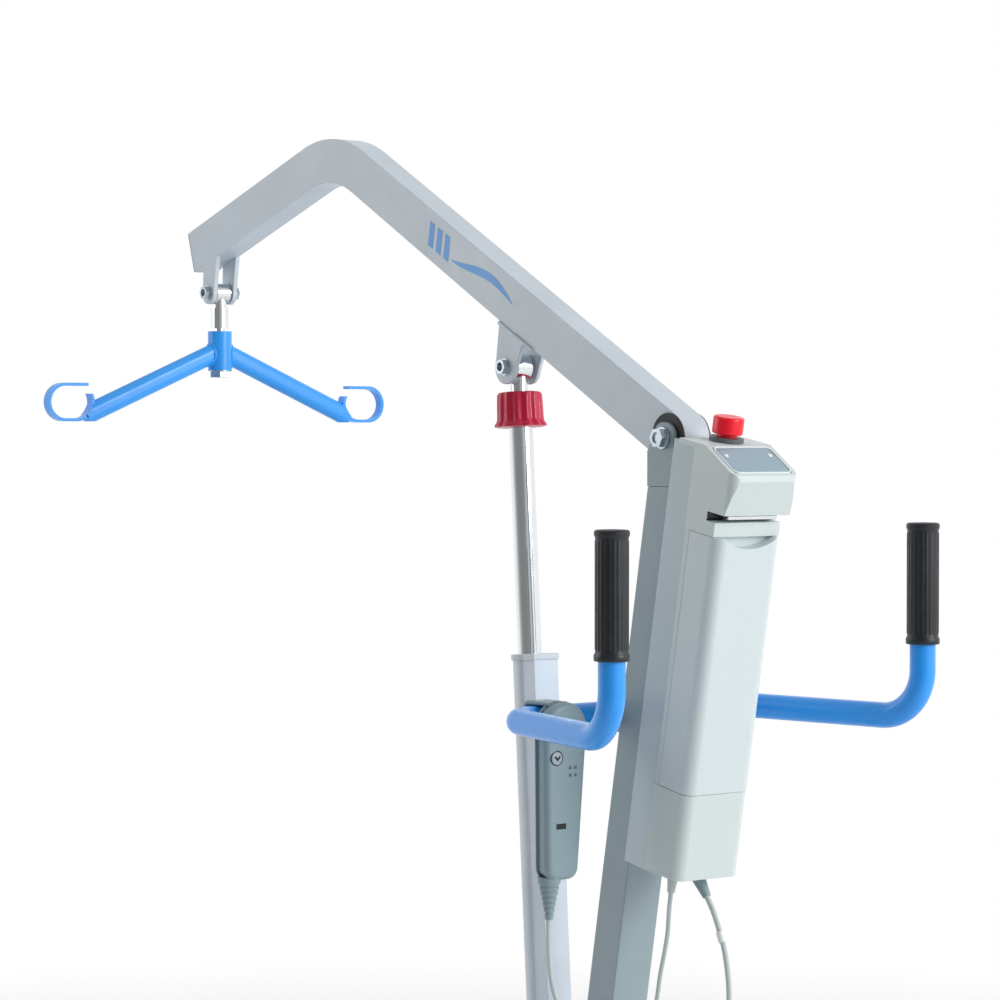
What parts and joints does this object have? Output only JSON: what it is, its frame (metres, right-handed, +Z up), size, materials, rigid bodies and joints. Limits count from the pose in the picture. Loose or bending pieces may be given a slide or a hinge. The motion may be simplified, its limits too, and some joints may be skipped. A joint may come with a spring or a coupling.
{
  "type": "patient lift hoist",
  "caption": "Mobile patient hoist: leaning mast, cranked boom on an electric actuator, spreader bar with sling hooks, push handles, hand control and spreading legs on castors.",
  "frame": {"origin": "on the floor, under the middle of the hoist's outline", "axes": "+Z up, -Y forward along the boom, +X to the hoist's left"},
  "size_m": [0.518, 1.2302, 1.705],
  "materials": {
    "mast_paint": "satin silver-grey powder coat",
    "boom_paint": "satin light silver-grey powder coat",
    "cap_plastic": "grey moulded plastic",
    "steel": "zinc plated steel",
    "chrome": "polished chrome",
    "bronze": "plain bearing bronze",
    "black_nylon": "black nylon",
    "blue_light": "gloss light blue powder coat",
    "blue_handle": "gloss blue powder coat",
    "red_collar": "ribbed crimson plastic",
    "red_button": "gloss red plastic",
    "aluminium": "satin anodised extrusion",
    "mouth_plastic": "grey plastic",
    "motor_plastic": "dark grey plastic",
    "carrier_paint": "satin grey coat",
    "unit_plastic": "light grey fine textured plastic",
    "battery_plastic": "light grey fine textured plastic",
    "label_film": "blue-grey membrane film",
    "board": "circuit board",
    "cells": "battery cell casing",
    "grip_rubber": "ribbed black rubber",
    "handset_plastic": "mid grey plastic",
    "button_plastic": "grey button",
    "cable_sheath": "light grey cable sheath",
    "castor_plastic": "black plastic",
    "wheel_rubber": "grey rubber tread",
    "brake_red": "red plastic"
  },
  "bodies": {
    "frame": {"mast": "mast_paint", "mast_fork": "mast_paint", "pivot_bolt": "steel", "pivot_washers": "black_nylon", "actuator_foot": "mast_paint", "carrier": "carrier_paint", "control_head": "unit_plastic", "label_panel": "label_film", "slot_bar": "chrome", "control_box": "unit_plastic", "control_board": "board", "stop_ring": "mouth_plastic", "handle_bar": "blue_handle", "handle_saddle": "mast_paint", "grips": "grip_rubber", "handset": "handset_plastic", "handset_plug": "handset_plastic", "motor_plug": "cable_sheath", "motor_cable": "cable_sheath", "cable_grommet": "black_nylon", "handset_cord": "cable_sheath", "handset_curl": "cable_sheath", "base_beam": "mast_paint", "leg_bolts": "steel"},
    "battery": {"battery": "battery_plastic", "battery_cells": "cells"},
    "stop_button": {"stop_button": "red_button"},
    "button_up": {"button_up": "button_plastic"},
    "button_down": {"button_down": "button_plastic"},
    "boom": {"boom": "boom_paint", "boom_nose_cap": "cap_plastic", "boom_bush": "bronze", "actuator_bracket": "boom_paint", "actuator_bolt": "steel", "hanger_ears": "boom_paint", "hanger_bolt": "steel"},
    "stem": {"hanger_stem": "chrome", "stem_nut": "steel"},
    "spreader": {"spreader_bar": "blue_light"},
    "ram": {"ram_eye": "chrome", "ram_rod": "chrome"},
    "collar": {"release_collar": "red_collar"},
    "actuator": {"actuator_tube": "aluminium", "actuator_mouth": "mouth_plastic", "motor_case": "motor_plastic", "drive_screw": "steel", "motor": "steel"},
    "leg_left": {"leg_left": "mast_paint"},
    "leg_right": {"leg_right": "mast_paint"},
    "pedal": {"spread_pedal": "castor_plastic"},
    "front_fork_left": {"front_fork_left": "castor_plastic"},
    "front_wheel_left": {"front_wheel_left": "wheel_rubber"},
    "front_fork_right": {"front_fork_right": "castor_plastic"},
    "front_wheel_right": {"front_wheel_right": "wheel_rubber"},
    "rear_fork_left": {"rear_fork_left": "castor_plastic"},
    "rear_wheel_left": {"rear_wheel_left": "wheel_rubber"},
    "rear_fork_right": {"rear_fork_right": "castor_plastic"},
    "rear_wheel_right": {"rear_wheel_right": "wheel_rubber"},
    "brake_left": {"brake_left": "brake_red"},
    "brake_right": {"brake_right": "brake_red"}
  },
  "joints": [
    {"name": "boom_tilt", "type": "hinge", "parent": "frame", "child": "boom", "pos_m": [0, 0.446, 1.33], "axis": [-1, 0, 0], "range_deg": [-35, 10]},
    {"name": "ram_turn", "type": "hinge", "parent": "boom", "child": "ram", "pos_m": [0, 0.151, 1.412], "axis": [-1, 0, 0], "range_deg": [-12, 36]},
    {"name": "ram_slide", "type": "slide", "parent": "ram", "child": "actuator", "axis": [0, 0.068, -0.9977], "range_m": [-0.2, 0.06]},
    {"name": "collar_turn", "type": "hinge", "parent": "ram", "child": "collar", "pos_m": [0, 0.151, 1.412], "axis": [0, 0.068, -0.9977], "range_deg": [-90, 90]},
    {"name": "hanger_swing", "type": "hinge", "parent": "boom", "child": "stem", "pos_m": [0, -0.523, 1.524], "axis": [1, 0, 0], "range_deg": [-40, 40]},
    {"name": "spreader_turn", "type": "hinge", "parent": "stem", "child": "spreader", "pos_m": [0, -0.523, 1.524], "axis": [0, 0, 1], "continuous": true},
    {"name": "battery_slide", "type": "slide", "parent": "frame", "child": "battery", "axis": [0, 0.9833, -0.1822], "range_m": [0, 0.06]},
    {"name": "stop_press", "type": "slide", "parent": "frame", "child": "stop_button", "axis": [0, -0.1822, -0.9833], "range_m": [0, 0.003], "stiffness_N_per_m": 800},
    {"name": "up_press", "type": "slide", "parent": "frame", "child": "button_up", "axis": [0, -1, 0], "range_m": [0, 0.0012], "stiffness_N_per_m": 500},
    {"name": "down_press", "type": "slide", "parent": "frame", "child": "button_down", "axis": [0, -1, 0], "range_m": [0, 0.0012], "stiffness_N_per_m": 500},
    {"name": "leg_left_spread", "type": "hinge", "parent": "frame", "child": "leg_left", "pos_m": [0.215, 0.23614, 0.116], "axis": [0, 0, 1], "range_deg": [0, 12]},
    {"name": "leg_right_spread", "type": "hinge", "parent": "frame", "child": "leg_right", "pos_m": [-0.215, 0.23614, 0.116], "axis": [0, 0, 1], "range_deg": [-12, 0]},
    {"name": "pedal_rock", "type": "hinge", "parent": "frame", "child": "pedal", "pos_m": [0, 0.23614, 0.148], "axis": [0, 1, 0], "range_deg": [0, 15]},
    {"name": "front_swivel_left", "type": "hinge", "parent": "leg_left", "child": "front_fork_left", "pos_m": [0.215, -0.573, 0.1], "axis": [0, 0, 1], "continuous": true},
    {"name": "front_roll_left", "type": "hinge", "parent": "front_fork_left", "child": "front_wheel_left", "pos_m": [0.215, -0.552, 0.0375], "axis": [1, 0, 0], "continuous": true},
    {"name": "rear_swivel_left", "type": "hinge", "parent": "frame", "child": "rear_fork_left", "pos_m": [0.215, 0.38614, 0.13], "axis": [0, 0, 1], "continuous": true},
    {"name": "rear_roll_left", "type": "hinge", "parent": "rear_fork_left", "child": "rear_wheel_left", "pos_m": [0.215, 0.41414, 0.05], "axis": [1, 0, 0], "continuous": true},
    {"name": "brake_press_left", "type": "hinge", "parent": "rear_fork_left", "child": "brake_left", "pos_m": [0.215, 0.42214, 0.112], "axis": [1, 0, 0], "range_deg": [-12, 0]},
    {"name": "front_swivel_right", "type": "hinge", "parent": "leg_right", "child": "front_fork_right", "pos_m": [-0.215, -0.573, 0.1], "axis": [0, 0, 1], "continuous": true},
    {"name": "front_roll_right", "type": "hinge", "parent": "front_fork_right", "child": "front_wheel_right", "pos_m": [-0.215, -0.552, 0.0375], "axis": [1, 0, 0], "continuous": true},
    {"name": "rear_swivel_right", "type": "hinge", "parent": "frame", "child": "rear_fork_right", "pos_m": [-0.215, 0.38614, 0.13], "axis": [0, 0, 1], "continuous": true},
    {"name": "rear_roll_right", "type": "hinge", "parent": "rear_fork_right", "child": "rear_wheel_right", "pos_m": [-0.215, 0.41414, 0.05], "axis": [1, 0, 0], "continuous": true},
    {"name": "brake_press_right", "type": "hinge", "parent": "rear_fork_right", "child": "brake_right", "pos_m": [-0.215, 0.42214, 0.112], "axis": [1, 0, 0], "range_deg": [-12, 0]}
  ],
  "couplings": [
    {"joint": "ram_turn", "follows": "boom_tilt", "ratio": -0.96},
    {"joint": "ram_slide", "follows": "boom_tilt", "m_per_rad": 0.292},
    {"joint": "leg_right_spread", "follows": "leg_left_spread", "ratio": -1},
    {"joint": "pedal_rock", "follows": "leg_left_spread", "ratio": 1.25}
  ]
}
